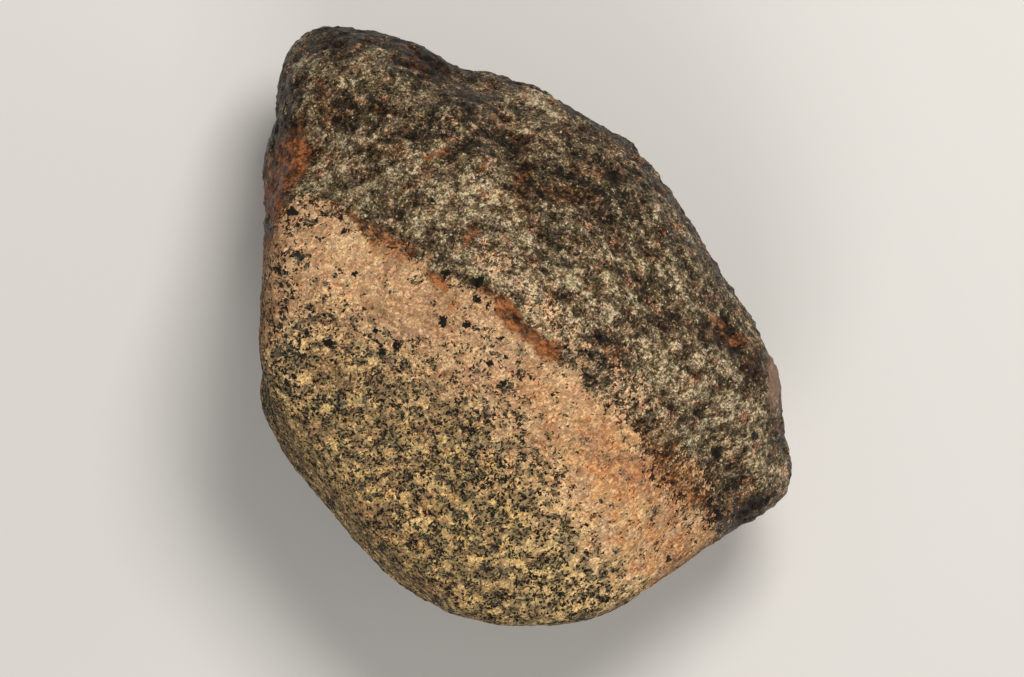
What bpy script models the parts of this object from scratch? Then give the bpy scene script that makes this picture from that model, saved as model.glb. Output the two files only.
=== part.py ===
"""A martian meteorite about the size of a loaf, lying on a small flat spot: one solid stone.

The stone is roughed out the way a lapidary would do it. Flat facets close it in: a rim of steep
facets round the outline, broad facets over the top and others underneath. The corners between
them are worn round. Troughs, ridges, hollows and lumps are then worked into that form, the whole
surface gets the low relief of weathered stone, and the flat spot is cut at the bottom.

X and Y run across the stone as it lies and Z is up. Bearings turn from +X towards +Y. A point
on the stone is also found by its bearing and climb from the heart, a point deep inside.
"""

import math
from typing import NamedTuple

import bmesh
import bpy
import numpy as np
from mathutils import Vector, noise

MM = 0.001

# Overall size
WIDTH = 205 * MM
LENGTH = 231 * MM
HEIGHT = 160 * MM

# The point inside the stone that its form is measured from
HEART = Vector((-8 * MM, -6 * MM, 78 * MM))

# How round the corners between facets are worn
CORNER_WEAR = 3.2 * MM

# Where this many facets meet, their corner keeps its place, and a lone facet swells a little
FACETS_AT_CORNER = 3

# How often the search for the surface is halved
HALVINGS = 30

# How much of the lowest part is cut away to make the flat spot
FLAT_CUT = 4 * MM

# Each side of the starting sphere's 80 triangles is split into this many
SPLITS = 10

# Colour and finish of the whole stone, seen from far away
STONE_COLOUR = (0.19, 0.135, 0.085, 1.0)
STONE_ROUGHNESS = 0.72


class RimFacet(NamedTuple):
    """A steep facet of the outline, widest at its girdle and leaning in above and below it."""

    bearing: float
    reach: float
    girdle: float
    lean_above: float
    lean_below: float


class Facet(NamedTuple):
    """A flat facet: the way it faces, and how far it lies from the heart."""

    bearing: float
    climb: float
    distance: float


class Groove(NamedTuple):
    """A trough along a line over the top, or a ridge where the depth is negative."""

    line: tuple
    half_width: float
    depth: float


class Dent(NamedTuple):
    """A round hollow seen from the heart, or a lump where the depth is negative."""

    bearing: float
    climb: float
    radius: float
    depth: float


class Relief(NamedTuple):
    """Low relief all over the stone: how wide its lumps are, and how high."""

    spacing: float
    height: float


# Bearing, reach, height of the widest line, and lean in from upright above and below it
RIM = (
    RimFacet(6, 99 * MM, 64 * MM, 8, 14),
    RimFacet(26, 87 * MM, 76 * MM, 20, 16),
    RimFacet(33, 74 * MM, 88 * MM, 25, 18),
    RimFacet(47, 80 * MM, 92 * MM, 27, 16),
    RimFacet(61, 80 * MM, 86 * MM, 25, 20),
    RimFacet(72, 82 * MM, 76 * MM, 22, 22),
    RimFacet(98, 121 * MM, 66 * MM, 26, 18),
    RimFacet(115, 137 * MM, 62 * MM, 28, 20),
    RimFacet(139, 141 * MM, 60 * MM, 24, 16),
    RimFacet(168, 113 * MM, 74 * MM, 12, 12),
    RimFacet(180, 101 * MM, 96 * MM, 4, 10),
    RimFacet(197, 120 * MM, 90 * MM, 8, 14),
    RimFacet(220, 105 * MM, 76 * MM, 16, 15),
    RimFacet(238, 114 * MM, 70 * MM, 13, 16),
    RimFacet(259, 118 * MM, 80 * MM, 9, 14),
    RimFacet(271, 117 * MM, 92 * MM, 6, 12),
    RimFacet(284, 118 * MM, 96 * MM, 8, 15),
    RimFacet(302, 114 * MM, 86 * MM, 9, 18),
)

# The broad facets over the top
DARK_FACE = Facet(52, 62, 76 * MM)
DARK_SHOULDER = Facet(84, 57, 77 * MM)
RUSTY_FACE = Facet(14, 53, 80 * MM)
TAN_FACE = Facet(232, 66, 68 * MM)
TAN_TAIL = Facet(282, 69, 73 * MM)
CORNER_FACE = Facet(328, 42, 91 * MM)
HEAD_FACE = Facet(118, 62, 81 * MM)
CROWN = Facet(60, 87, 82 * MM)
TOP = (DARK_FACE, DARK_SHOULDER, RUSTY_FACE, TAN_FACE, TAN_TAIL, CORNER_FACE, HEAD_FACE, CROWN)

# The facets underneath, the outer ones steeper than the inner, and the one that the stone rests on
BELLY_OUTER = (
    Facet(30, -38, 86 * MM),
    Facet(100, -35, 108 * MM),
    Facet(150, -40, 104 * MM),
    Facet(205, -36, 94 * MM),
    Facet(262, -38, 100 * MM),
    Facet(318, -40, 104 * MM),
)
BELLY_INNER = (
    Facet(5, -60, 87 * MM),
    Facet(60, -64, 85 * MM),
    Facet(140, -62, 89 * MM),
    Facet(225, -66, 86 * MM),
    Facet(300, -63, 88 * MM),
)
REST = Facet(0, -90, 78 * MM)

# The grooves start at the heart's height and have their full depth this much above it
GROOVE_RISE = 20 * MM

# Troughs and, with a negative depth, ridges over the top: the line they follow in X and Y, in mm
GROOVES = (
    # The dark face dips behind a low outer ridge that follows its rim
    Groove(((-20, 92), (2, 62), (20, 50), (46, 22), (60, 2)), 15 * MM, 3.2 * MM),
    Groove(((-4, 88), (22, 74), (42, 56), (60, 28), (74, 4)), 9 * MM, -1.8 * MM),
    # The hollow across the head, and the swelling below it
    Groove(((-76, 82), (-56, 80), (-36, 84)), 12 * MM, 2.6 * MM),
    Groove(((-70, 62), (-46, 58), (-18, 52)), 13 * MM, -1.8 * MM),
    # The step where the stained side sinks below the crust
    Groove(((-62, 36), (-26, 10), (-8, 6), (8, -10), (30, -28), (46, -46)), 13 * MM, 1.3 * MM),
    Groove(((-52, 44), (-34, 30), (-14, 22), (22, -8), (42, -24), (54, -42)), 12 * MM, -1.0 * MM),
    # The pale swelling in the middle of the crust, and the valley round it
    Groove(((-18, 57), (-7, 44)), 14 * MM, -1.7 * MM),
    Groove(((-5, 72), (-2, 55), (4, 47), (15, 50), (27, 46)), 9 * MM, 2.0 * MM),
    # A ridge across the head with a trough below it
    Groove(((-48, 58), (-38, 64), (-19, 75), (-8, 81)), 8 * MM, -1.3 * MM),
    Groove(((-38, 53), (-26, 63), (-10, 67)), 8 * MM, 1.3 * MM),
    # Hollows and lumps of the crust near its right edge
    Groove(((72, 3), (79, -4), (85, -9)), 9 * MM, 2.2 * MM),
    Groove(((54, 2), (63, -4)), 8 * MM, 1.4 * MM),
    Groove(((62, -13), (69, -20)), 10 * MM, -1.5 * MM),
    Groove(((73, -44), (78, -55)), 8 * MM, 1.9 * MM),
    Groove(((86, -50), (93, -57)), 9 * MM, -1.6 * MM),
    # Thin layers standing out along the bottom edge and the lower right edge
    Groove(((-26, -101), (-8, -106), (12, -107), (30, -103), (66, -82)), 4 * MM, 1.5 * MM),
    Groove(((-26, -109), (-8, -113), (12, -113), (30, -110), (70, -87)), 5 * MM, -1.4 * MM),
)

# Hollows and, with a negative depth, lumps: their bearing and climb as seen from the heart
DENTS = (
    # The broken facet high on the left wall
    Dent(139, 23, 37 * MM, 7.5 * MM),
    # Dips in the outline along the top and at the waist on the left
    Dent(100, -3, 18 * MM, 2.6 * MM),
    Dent(68, 2, 14 * MM, 1.8 * MM),
    Dent(76, 4, 14 * MM, 1.8 * MM),
    Dent(131, 2, 11 * MM, 2.2 * MM),
    Dent(146, 2, 14 * MM, -2.8 * MM),
    Dent(166, 3, 20 * MM, 3.6 * MM),
    Dent(179, 8, 13 * MM, 1.4 * MM),
    Dent(225, 0, 11 * MM, 1.4 * MM),
    Dent(277, 6, 10 * MM, 1.2 * MM),
    # The sharp corner on the right with a dip above it, and the blunt one low on the left
    Dent(330, -5, 24 * MM, -4.4 * MM),
    Dent(345, -6, 15 * MM, 2.0 * MM),
    Dent(354, 4, 28 * MM, -3.2 * MM),
    Dent(196, 4, 20 * MM, -3.8 * MM),
    Dent(258, 8, 12 * MM, -2.0 * MM),
    # Over the top
    Dent(62, 76, 20 * MM, -2.4 * MM),
    Dent(340, 44, 13 * MM, 2.2 * MM),
    Dent(2, 40, 16 * MM, -2.0 * MM),
    Dent(33, 36, 12 * MM, 1.6 * MM),
    Dent(240, 38, 22 * MM, 2.0 * MM),
    Dent(262, 30, 15 * MM, -1.6 * MM),
    Dent(205, 40, 18 * MM, -1.8 * MM),
    Dent(345, 12, 11 * MM, 2.0 * MM),
    # Round the sides
    Dent(16, -24, 22 * MM, 3.0 * MM),
    Dent(52, -22, 18 * MM, -2.6 * MM),
    Dent(88, -20, 20 * MM, 3.4 * MM),
    Dent(128, -18, 22 * MM, -2.4 * MM),
    Dent(170, -24, 24 * MM, 3.6 * MM),
    Dent(212, -20, 17 * MM, 2.4 * MM),
    Dent(244, -26, 20 * MM, -2.8 * MM),
    Dent(280, -14, 24 * MM, 3.2 * MM),
    Dent(312, -28, 18 * MM, 2.6 * MM),
    # Underneath
    Dent(75, -42, 24 * MM, 3.4 * MM),
    Dent(155, -52, 22 * MM, -3.0 * MM),
    Dent(255, -48, 26 * MM, 3.2 * MM),
    Dent(335, -48, 20 * MM, -2.4 * MM),
)

# Low relief all over, from broad lumps down to thumbprints
RELIEF = (
    Relief(46 * MM, 1.8 * MM),
    Relief(21 * MM, 1.2 * MM),
    Relief(11 * MM, 0.7 * MM),
)

# The crust is rougher than the stained side. It lies this way from the Z axis, from this far on
CRUST_BEARING = 53
CRUST_FROM = -9 * MM
CRUST_BLEND = 8 * MM
CRUST_RELIEF = Relief(8.5 * MM, 1.1 * MM)


def direction(bearing, climb):
    """The unit vector along a bearing and a climb given in degrees."""
    turn = math.radians(bearing)
    rise = math.radians(climb)
    level = math.cos(rise)
    return Vector((math.cos(turn) * level, math.sin(turn) * level, math.sin(rise)))


def rim_planes(facet):
    """The planes above and below a rim facet's girdle, as normals and distances from the heart."""
    widest = direction(facet.bearing, 0) * facet.reach + Vector((0, 0, facet.girdle))
    upper = direction(facet.bearing, facet.lean_above)
    lower = direction(facet.bearing, -facet.lean_below)
    return [(normal, normal.dot(widest - HEART)) for normal in (upper, lower)]


def facet_planes():
    """Every facet of the stone, as a normal and a distance from the heart."""
    planes = [plane for facet in RIM for plane in rim_planes(facet)]
    for facet in (*TOP, *BELLY_OUTER, *BELLY_INNER, REST):
        planes.append((direction(facet.bearing, facet.climb), facet.distance))
    return planes


def worn_reach(rays):
    """How far from the heart each ray meets the stone, where worn corners join the facets."""
    planes = facet_planes()
    normals = np.array([normal for normal, _ in planes])
    distances = np.array([distance for _, distance in planes])
    facing = rays @ normals.T
    near = np.zeros(len(rays))
    far = np.full(len(rays), LENGTH)
    for _ in range(HALVINGS):
        middle = (near + far) / 2
        past = (facing * middle[:, None] - distances) / CORNER_WEAR
        outside = np.exp(past).sum(axis=1) > FACETS_AT_CORNER
        far = np.where(outside, middle, far)
        near = np.where(outside, near, middle)
    return near


def rough_stone():
    """The faceted form with worn corners, as a mesh of even triangles."""
    stone = bmesh.new()
    bmesh.ops.create_icosphere(stone, subdivisions=2, radius=1)
    bmesh.ops.subdivide_edges(stone, edges=stone.edges[:], cuts=SPLITS - 1, use_grid_fill=True)
    rays = np.array([vert.co.normalized() for vert in stone.verts])
    for vert, ray, reach in zip(stone.verts, rays, worn_reach(rays)):
        vert.co = HEART + Vector(ray) * reach
    stone.normal_update()
    return stone


def fade(distance, width):
    """One at no distance, falling smoothly to zero at the width."""
    share = min(distance / width, 1)
    return (1 - share * share) ** 2


def distance_to_line(point, line):
    """How far a point lies from a line of points, seen from above."""
    shortest = math.inf
    for start, end in zip(line, line[1:]):
        along = end - start
        share = max(0, min(1, (point - start).dot(along) / along.length_squared))
        shortest = min(shortest, (point - start - along * share).length)
    return shortest


def carve(stone):
    """Works the grooves, the dents and the low relief into the stone, along its own normals."""
    grooves = [([Vector(point) * MM for point in g.line], g.half_width, g.depth) for g in GROOVES]
    dents = [(direction(d.bearing, d.climb), d.radius, d.depth) for d in DENTS]
    crust_way = direction(CRUST_BEARING, 0)
    for vert in stone.verts:
        arm = vert.co - HEART
        over_top = max(0, min(1, arm.z / GROOVE_RISE))
        depth = 0
        for line, half_width, most in grooves:
            depth += over_top * most * fade(distance_to_line(vert.co.xy, line), half_width)
        for axis, radius, most in dents:
            along = arm.dot(axis)
            if along > 0:
                depth += most * fade((arm - axis * along).length, radius)
        for relief in RELIEF:
            depth -= relief.height * noise.noise(vert.co / relief.spacing)
        crust = max(0, min(1, (vert.co.dot(crust_way) - CRUST_FROM) / CRUST_BLEND))
        depth -= crust * CRUST_RELIEF.height * noise.noise(vert.co / CRUST_RELIEF.spacing)
        vert.co -= vert.normal * depth


def rest_and_size(stone):
    """Cuts the flat spot, and brings the stone to its overall size with the spot at Z = 0."""
    points = np.array([vert.co for vert in stone.verts])
    low = points.min(axis=0) + (0, 0, FLAT_CUT)
    high = points.max(axis=0)
    base = (*(low + high)[:2] / 2, low[2])
    placed = (points - base) * (WIDTH, LENGTH, HEIGHT) / (high - low)
    for vert, (x, y, z) in zip(stone.verts, placed):
        vert.co = (x, y, max(z, 0))


def stone_material():
    """The average colour and dull finish of the weathered stone."""
    material = bpy.data.materials.new("weathered stone")
    material.use_nodes = True
    shader = material.node_tree.nodes["Principled BSDF"]
    shader.inputs["Base Color"].default_value = STONE_COLOUR
    shader.inputs["Roughness"].default_value = STONE_ROUGHNESS
    shader.inputs["Metallic"].default_value = 0
    return material


def add_stone(collection):
    """The whole stone as one object."""
    form = rough_stone()
    carve(form)
    rest_and_size(form)
    mesh = bpy.data.meshes.new("stone")
    form.to_mesh(mesh)
    form.free()
    mesh.shade_smooth()
    mesh.materials.append(stone_material())
    collection.objects.link(bpy.data.objects.new("stone", mesh))


def main():
    for old in list(bpy.data.objects):
        bpy.data.objects.remove(old)
    collection = bpy.data.collections.new("martian meteorite")
    bpy.context.scene.collection.children.link(collection)
    add_stone(collection)


main()
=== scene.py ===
"""The looks of a martian meteorite: one stone, faceted and worn, lying on a small flat spot.

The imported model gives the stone's form. Here its surface gets the finer relief of a mosaic of mineral
grains, a map of its zones, and a material made of them: a dark crust of grains over one side, a tan coat
of soil stain over the other, iron rust along the line between them, and dark grains showing through the
stain. Zones that the photograph shows are placed by where they lie in it, in its pixels. The stone's
other sides carry the same zones on.
"""

import math
from typing import NamedTuple

import bmesh
import bpy
import numpy as np
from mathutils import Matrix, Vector, noise


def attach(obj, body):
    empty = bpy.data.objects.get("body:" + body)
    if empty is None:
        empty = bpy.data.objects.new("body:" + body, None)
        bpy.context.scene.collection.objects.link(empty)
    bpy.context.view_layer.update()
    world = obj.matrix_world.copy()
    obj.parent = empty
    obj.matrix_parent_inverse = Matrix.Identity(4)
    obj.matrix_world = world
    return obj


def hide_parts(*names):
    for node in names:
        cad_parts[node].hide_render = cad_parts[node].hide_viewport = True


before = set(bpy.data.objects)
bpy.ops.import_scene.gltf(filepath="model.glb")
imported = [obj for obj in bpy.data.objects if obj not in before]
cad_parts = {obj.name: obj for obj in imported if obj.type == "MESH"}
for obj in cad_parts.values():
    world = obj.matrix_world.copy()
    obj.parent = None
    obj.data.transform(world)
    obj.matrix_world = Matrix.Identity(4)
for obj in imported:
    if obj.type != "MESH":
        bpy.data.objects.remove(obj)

bl_info = {
    "name": "Martian meteorite",
    "version": (1, 0, 0),
    "blender": (4, 5, 0),
    "location": "3D View > Sidebar > Meteorite",
    "description": "Builds a martian meteorite with its crust, soil stain and rust, and a plain studio",
    "category": "Object",
}

MM = 0.001

# The imported node and its body
NODE = "stone"
BODY = "root"

# The photograph's frame in pixels, and what it spans at the height of the stone's outline
PHOTO_WIDE = 1024
PHOTO_HIGH = 677
PHOTO_SPAN = 394.3 * MM
OUTLINE_HEIGHT = 80 * MM
PHOTO_MIDDLE = (-5.6 * MM, -5.7 * MM)

# A long lens looking straight down, as the photograph was taken
LENS = 300
SENSOR = 36
CAMERA_REACH = PHOTO_SPAN * LENS / SENSOR


class Patch(NamedTuple):
    """An oval patch: its middle in the photograph's pixels, its half length and half width in pixels,
    the way its length runs in degrees clockwise from the right, and its strength."""

    across: float
    down: float
    long: float
    wide: float
    turn: float
    strength: float


class Cells(NamedTuple):
    """A mosaic of grains: three random numbers for each grain, the same three as one colour, and how
    far a spot lies from the middle of its grain."""

    random: object
    colour: object
    distance: object


class Spot(NamedTuple):
    """What the material reads at a spot of the surface: mosaics of grains, noises and zones."""

    large: Cells
    middle: Cells
    small: Cells
    lath: Cells
    cross: Cells
    fine: object
    streaks: object
    wisps: object
    clumps: object
    clusters: object
    stains: object
    drift: object
    coat: object
    worn: object
    tone: object


# The edge of the soil stain, from the left wall to the lower right corner. The stain lies below it
STAIN_EDGE = (
    (150, 330), (240, 262), (268, 236), (284, 204), (301, 197), (325, 208), (345, 216), (365, 232),
    (392, 250), (412, 258), (438, 280), (475, 288), (496, 292), (515, 325), (558, 358), (592, 391),
    (628, 409), (635, 444), (652, 458), (672, 492), (702, 512), (724, 546), (780, 600), (880, 680),
)

# Where few dark grains show through the stain, and where many do
BARE_STAIN = (
    Patch(362, 258, 44, 24, 38, 0.24),
    Patch(400, 290, 46, 22, 38, 0.20),
    Patch(432, 318, 40, 16, 40, 0.12),
    Patch(520, 352, 40, 13, 45, 0.12),
    Patch(585, 402, 60, 24, 45, 0.13),
    Patch(645, 445, 24, 30, 30, 0.14),
    Patch(655, 500, 46, 22, 55, 0.12),
    Patch(600, 470, 50, 26, 50, 0.10),
    Patch(620, 545, 60, 34, 60, 0.12),
)
SPECKED_STAIN = (
    Patch(268, 330, 12, 110, 0, 0.12),
    Patch(306, 222, 36, 13, 20, 0.20),
    Patch(284, 300, 20, 90, 0, 0.17),
    Patch(485, 460, 28, 50, -10, 0.06),
    Patch(610, 520, 70, 60, 50, 0.04),
    Patch(470, 333, 22, 12, 30, 0.06),
    Patch(520, 374, 18, 12, 30, 0.26),
    Patch(505, 388, 26, 14, 40, 0.14),
    Patch(632, 411, 15, 11, 50, 0.22),
    Patch(560, 470, 24, 16, 45, 0.06),
    Patch(548, 565, 34, 20, 60, 0.12),
    Patch(594, 590, 18, 12, 0, 0.14),
    Patch(672, 505, 30, 20, 55, 0.14),
)

# Where stain is dusted over the crust beyond its edge
DUSTED_CRUST = (
    Patch(500, 268, 45, 18, 40, 0.48),
    Patch(548, 316, 46, 22, 45, 0.54),
    Patch(574, 346, 28, 18, 40, 0.50),
    Patch(632, 395, 38, 22, 50, 0.56),
    Patch(462, 215, 40, 12, 55, 0.20),
    Patch(330, 205, 40, 8, 20, 0.25),
    Patch(688, 482, 46, 26, 55, 0.46),
)

# Iron rust along the edge of the stain, on the steep left facet and in small hollows
RUST = (
    Patch(292, 158, 30, 17, 105, 1.0),
    Patch(275, 190, 30, 13, 95, 0.95),
    Patch(270, 226, 26, 11, 90, 0.5),
    Patch(356, 220, 13, 6, 40, 0.78),
    Patch(384, 244, 30, 12, 42, 0.60),
    Patch(402, 258, 18, 10, 20, 0.52),
    Patch(412, 252, 8, 6, 0, 0.9),
    Patch(436, 281, 18, 8, 50, 0.8),
    Patch(452, 307, 8, 4, 70, 0.6),
    Patch(488, 291, 11, 5, 10, 0.9),
    Patch(508, 313, 26, 10, 56, 1.05),
    Patch(530, 333, 16, 9, 25, 0.95),
    Patch(547, 349, 18, 10, 48, 1.0),
    Patch(664, 470, 30, 12, 55, 0.40),
    Patch(692, 498, 26, 12, 55, 0.42),
    Patch(718, 322, 10, 6, 30, 0.6),
    Patch(738, 340, 8, 5, 15, 0.6),
    Patch(470, 236, 6, 14, 20, 0.55),
    Patch(440, 153, 18, 4, -28, 0.75),
    Patch(485, 163, 5, 8, 0, 0.45),
    Patch(612, 352, 14, 8, 30, 0.45),
    Patch(590, 480, 60, 40, 50, 0.20),
    Patch(645, 535, 40, 30, 50, 0.20),
)

# Brown soil held in the hollows of the crust
BROWN = (
    Patch(271, 222, 14, 50, 0, 0.9),
    Patch(350, 112, 60, 10, 4, 0.6),
    Patch(430, 64, 34, 13, 28, 0.8),
    Patch(505, 125, 28, 10, 50, 0.6),
    Patch(520, 180, 12, 30, 0, 0.8),
    Patch(560, 193, 34, 9, 12, 0.8),
    Patch(590, 200, 20, 14, 40, 0.6),
    Patch(340, 48, 30, 14, 20, 0.5),
    Patch(335, 160, 24, 12, 30, 0.4),
    Patch(300, 125, 12, 24, 0, 0.5),
    Patch(418, 240, 26, 10, 40, 0.5),
    Patch(648, 372, 16, 10, 20, 0.5),
    Patch(728, 336, 24, 13, 20, 0.8),
    Patch(752, 368, 14, 24, 0, 0.6),
    Patch(676, 322, 18, 10, 20, 0.5),
    Patch(676, 470, 46, 24, 50, 1.1),
    Patch(730, 505, 50, 18, -25, 0.4),
    Patch(590, 330, 20, 8, 40, 0.4),
)

# A painted highlight along the right rim, where a warm rim light falls
RIM_HIGHLIGHT = (
    Patch(774, 378, 34, 8, 85, 0.8),
)

# Black grains standing alone in the stain, round ones about this many pixels in radius
CLOTS = (
    Patch(292, 212, 7, 6, 0, 1), Patch(326, 215, 5, 3, 20, 1), Patch(339, 218, 4, 3, 60, 1),
    Patch(344, 231, 3, 3, 0, 1), Patch(278, 270, 6, 4, 60, 1), Patch(354, 274, 5, 2, -20, 1),
    Patch(442, 321, 6, 6, 0, 1), Patch(468, 325, 6, 4, 0, 1), Patch(477, 283, 7, 6, 0, 1),
    Patch(477, 300, 7, 4, 25, 1), Patch(329, 344, 7, 4, 0, 1), Patch(398, 345, 5, 7, 0, 1),
    Patch(382, 352, 4, 6, 0, 1), Patch(378, 332, 5, 3, 10, 1), Patch(501, 339, 4, 3, 0, 1),
    Patch(445, 273, 5, 3, 10, 1),
    Patch(450, 285, 4, 3, 0, 1), Patch(506, 357, 3, 3, 0, 1), Patch(490, 364, 4, 3, 0, 1),
    Patch(520, 373, 10, 8, 40, 0.5), Patch(501, 386, 6, 4, 0, 1), Patch(716, 451, 8, 6, 50, 1),
    Patch(753, 434, 5, 5, 0, 1),
)

# Painted highlights on the swells and painted shade in the hollows of the whole stone. The same patches
# also raise the swells and sink the hollows of its relief
LIT_SWELLS = (
    Patch(302, 115, 16, 14, 0, 0.50),
    Patch(340, 112, 13, 17, 0, 0.40),
    Patch(370, 162, 36, 19, -15, 0.52),
    Patch(428, 200, 28, 13, -20, 0.48),
    Patch(517, 186, 13, 15, 0, 0.38),
    Patch(736, 376, 22, 14, 0, 0.34),
    Patch(546, 236, 15, 15, 0, 0.26),
    Patch(600, 220, 12, 22, 0, 0.26),
    Patch(582, 302, 36, 13, 55, 0.42),
    Patch(693, 366, 12, 11, 0, 0.50),
    Patch(758, 466, 8, 7, 0, 0.60),
    Patch(448, 146, 30, 5, -31, 0.46),
    Patch(337, 208, 18, 13, 0, 0.30),
    Patch(366, 57, 20, 13, 0, 0.36),
    Patch(400, 120, 16, 14, 0, 0.22),
    Patch(442, 265, 13, 17, 0, 0.34),
    Patch(550, 187, 20, 13, 0, 0.40),
    Patch(535, 106, 20, 13, 30, 0.28),
    Patch(505, 118, 14, 18, 0, 0.22),
    Patch(520, 240, 20, 12, 0, 0.24),
    Patch(636, 258, 13, 38, 10, 0.26),
    Patch(740, 320, 14, 20, -30, 0.30),
    Patch(686, 382, 32, 32, 0, 0.34),
    Patch(712, 404, 26, 22, 0, 0.34),
    Patch(776, 478, 16, 22, 0, 0.46),
    Patch(290, 366, 16, 32, 0, 0.50),
    Patch(540, 470, 32, 32, 0, 0.20),
    Patch(492, 192, 38, 26, 50, 0.38),
    Patch(472, 222, 18, 38, -15, 0.46),
    Patch(375, 155, 50, 28, 20, 0.34),
    Patch(434, 170, 14, 22, 0, 0.24),
    Patch(326, 78, 30, 14, 20, 0.50),
    Patch(412, 95, 26, 12, 45, 0.28),
    Patch(325, 125, 24, 24, 0, 0.25),
    Patch(395, 178, 14, 14, 0, 0.22),
    Patch(345, 200, 26, 10, 15, 0.22),
    Patch(504, 274, 46, 18, 30, 0.52),
    Patch(530, 316, 34, 15, 50, 0.46),
    Patch(575, 312, 16, 14, 0, 0.34),
    Patch(600, 272, 20, 28, 0, 0.34),
    Patch(590, 345, 34, 14, 35, 0.28),
    Patch(637, 355, 15, 16, 0, 0.44),
    Patch(622, 396, 32, 13, 50, 0.44),
    Patch(666, 442, 18, 26, 0, 0.40),
    Patch(640, 245, 22, 34, 0, 0.15),
    Patch(695, 470, 34, 26, 55, 0.26),
    Patch(715, 302, 16, 24, -30, 0.22),
    Patch(648, 316, 20, 12, 0, 0.32),
    Patch(748, 425, 18, 20, 0, 0.32),
    Patch(735, 440, 34, 16, 20, 0.24),
    Patch(762, 468, 14, 12, 0, 0.24),
    Patch(530, 460, 36, 14, 50, 0.15),
    Patch(560, 548, 95, 66, 50, 0.72),
    Patch(600, 590, 50, 26, -20, 0.76),
    Patch(440, 525, 34, 34, 0, 0.30),
    Patch(490, 345, 40, 26, 50, 0.24),
    Patch(620, 330, 180, 120, 50, 0.10),
    Patch(545, 570, 34, 30, 45, 0.36),
    Patch(620, 530, 50, 26, 60, 0.14),
    Patch(345, 262, 46, 28, 40, 0.26),
    Patch(385, 320, 40, 30, 30, 0.08),
    Patch(430, 565, 60, 24, 20, 0.14),
    Patch(700, 520, 30, 26, 0, 0.24),
)
# Painted shade: hollows, and facets that turn away from the light, painted darker
SHADED_HOLLOWS = (
    Patch(606, 364, 22, 14, 30, 0.34),
    Patch(455, 104, 54, 24, 0, 0.26),
    Patch(320, 330, 16, 13, 0, 0.24),
    Patch(404, 578, 24, 22, 0, 0.34),
    Patch(270, 330, 13, 110, 0, 0.24),
    Patch(272, 236, 15, 34, 0, 0.22),
    Patch(348, 366, 38, 32, 30, 0.24),
    Patch(400, 548, 24, 38, -40, 0.30),
    Patch(285, 432, 22, 16, 40, 0.26),
    Patch(605, 470, 48, 36, 40, 0.26),
    Patch(638, 434, 16, 11, 0, 0.34),
    Patch(718, 470, 16, 13, 0, 0.26),
    Patch(622, 172, 20, 16, 0, 0.36),
    Patch(578, 230, 18, 17, 0, 0.26),
    Patch(566, 254, 15, 11, 0, 0.24),
    Patch(612, 243, 11, 15, 0, 0.22),
    Patch(345, 160, 14, 9, 0, 0.24),
    Patch(385, 492, 26, 16, 0, 0.18),
    Patch(418, 438, 18, 14, 0, 0.26),
    Patch(455, 300, 50, 22, 40, 0.10),
    Patch(360, 90, 120, 70, 5, 0.16),
    Patch(742, 300, 110, 26, 62, 0.18),
    Patch(350, 40, 80, 16, 8, 0.34),
    Patch(418, 62, 38, 20, 30, 0.40),
    Patch(290, 132, 16, 44, 0, 0.48),
    Patch(385, 112, 70, 10, 5, 0.16),
    Patch(462, 162, 26, 17, 0, 0.44),
    Patch(500, 120, 44, 12, 60, 0.20),
    Patch(535, 190, 26, 16, 40, 0.32),
    Patch(572, 186, 32, 15, 10, 0.50),
    Patch(590, 125, 30, 8, 45, 0.12),
    Patch(640, 165, 24, 14, 60, 0.26),
    Patch(600, 215, 50, 12, 40, 0.14),
    Patch(662, 320, 28, 14, 10, 0.32),
    Patch(728, 338, 22, 13, 20, 0.44),
    Patch(750, 366, 16, 24, 0, 0.34),
    Patch(622, 214, 18, 15, 0, 0.34),
    Patch(662, 246, 18, 16, 0, 0.32),
    Patch(656, 292, 18, 18, 0, 0.26),
    Patch(530, 212, 22, 16, 0, 0.24),
    Patch(588, 142, 20, 20, 0, 0.28),
    Patch(375, 76, 16, 12, 0, 0.26),
    Patch(330, 103, 26, 10, 0, 0.26),
    Patch(372, 112, 18, 9, 0, 0.24),
    Patch(446, 92, 24, 22, 0, 0.26),
    Patch(495, 157, 12, 12, 0, 0.26),
    Patch(722, 488, 24, 14, -20, 0.32),
    Patch(748, 512, 36, 12, -30, 0.40),
    Patch(680, 550, 50, 16, -30, 0.28),
    Patch(420, 250, 30, 12, 30, 0.14),
    Patch(385, 247, 22, 11, 40, 0.24),
    Patch(505, 515, 14, 10, 0, 0.2),
    Patch(465, 495, 18, 14, 0, 0.16),
)

# Where the steep sides start, as the upward lean of the surface, and where the underside takes over
SIDE_FROM = 0.5
UNDERSIDE_FROM = -0.3
UNDERSIDE_TO = -0.9

# How much painted shade darkens the steep sides, how much less stain is left on them, and how many
# more dark grains they show
SIDE_PAINTED_SHADE = 0.26
SIDE_BARER = 0.15
SIDE_SPECKS = 0.1

# How many dark grains show near the edge of the stain and how many more far from it, how deep in the
# change lies in pixels, how far their number wanders, and the most that show anywhere
SPECKS_NEAR = 0.09
SPECKS_FAR = 0.18
SPECKS_FROM = 50
SPECKS_TO = 120
SPECKS_WANDER = 0.06
SPECKS_MOST = 0.6

# Where the stain turns from pink to yellow, as the depth into the stain from its edge, in pixels
YELLOW_FROM = 50
YELLOW_TO = 150
PINK_STAIN = (
    Patch(640, 510, 90, 55, 55, 0.8),
    Patch(470, 330, 40, 20, 45, 0.3),
)

# Where the stain is mottled with orange
FLUSHED_STAIN = (
    Patch(600, 470, 70, 46, 50, 0.8),
    Patch(640, 535, 56, 40, 50, 0.85),
    Patch(668, 498, 44, 30, 50, 0.7),
    Patch(560, 430, 60, 24, 45, 0.5),
    Patch(355, 285, 30, 20, 45, 0.3),
    Patch(450, 520, 90, 70, 0, 0.35),
)

# How the stain carries on over the hidden underside: pixels further for each metre down
STAIN_SPREAD_BELOW = 1.3 / MM

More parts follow.
